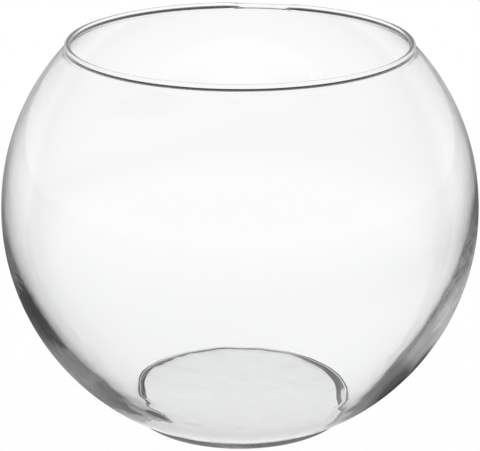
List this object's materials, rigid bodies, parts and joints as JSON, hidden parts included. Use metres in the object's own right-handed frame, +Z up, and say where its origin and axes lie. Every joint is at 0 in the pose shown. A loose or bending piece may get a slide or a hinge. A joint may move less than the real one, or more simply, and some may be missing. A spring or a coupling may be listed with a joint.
{
  "type": "ball vase",
  "caption": "Clear glass ball vase with a wide round mouth, a fire-polished rim bead, a wall that thickens towards the heel, and a low foot ring that it stands on.",
  "frame": {"origin": "on the table, under the middle of the foot ring", "axes": "+Z up along the vase's axis of turning, +X to the right and +Y away from the viewer in the picture"},
  "size_m": [0.25, 0.25, 0.2026],
  "materials": {
    "clear_glass": "clear, colourless, fire polished"
  },
  "bodies": {
    "root": {"rim_bead": "clear_glass", "upper_shoulder": "clear_glass", "lower_shoulder": "clear_glass", "upper_belly": "clear_glass", "lower_belly": "clear_glass", "heel": "clear_glass", "base": "clear_glass", "foot_ring": "clear_glass"}
  },
  "joints": []
}
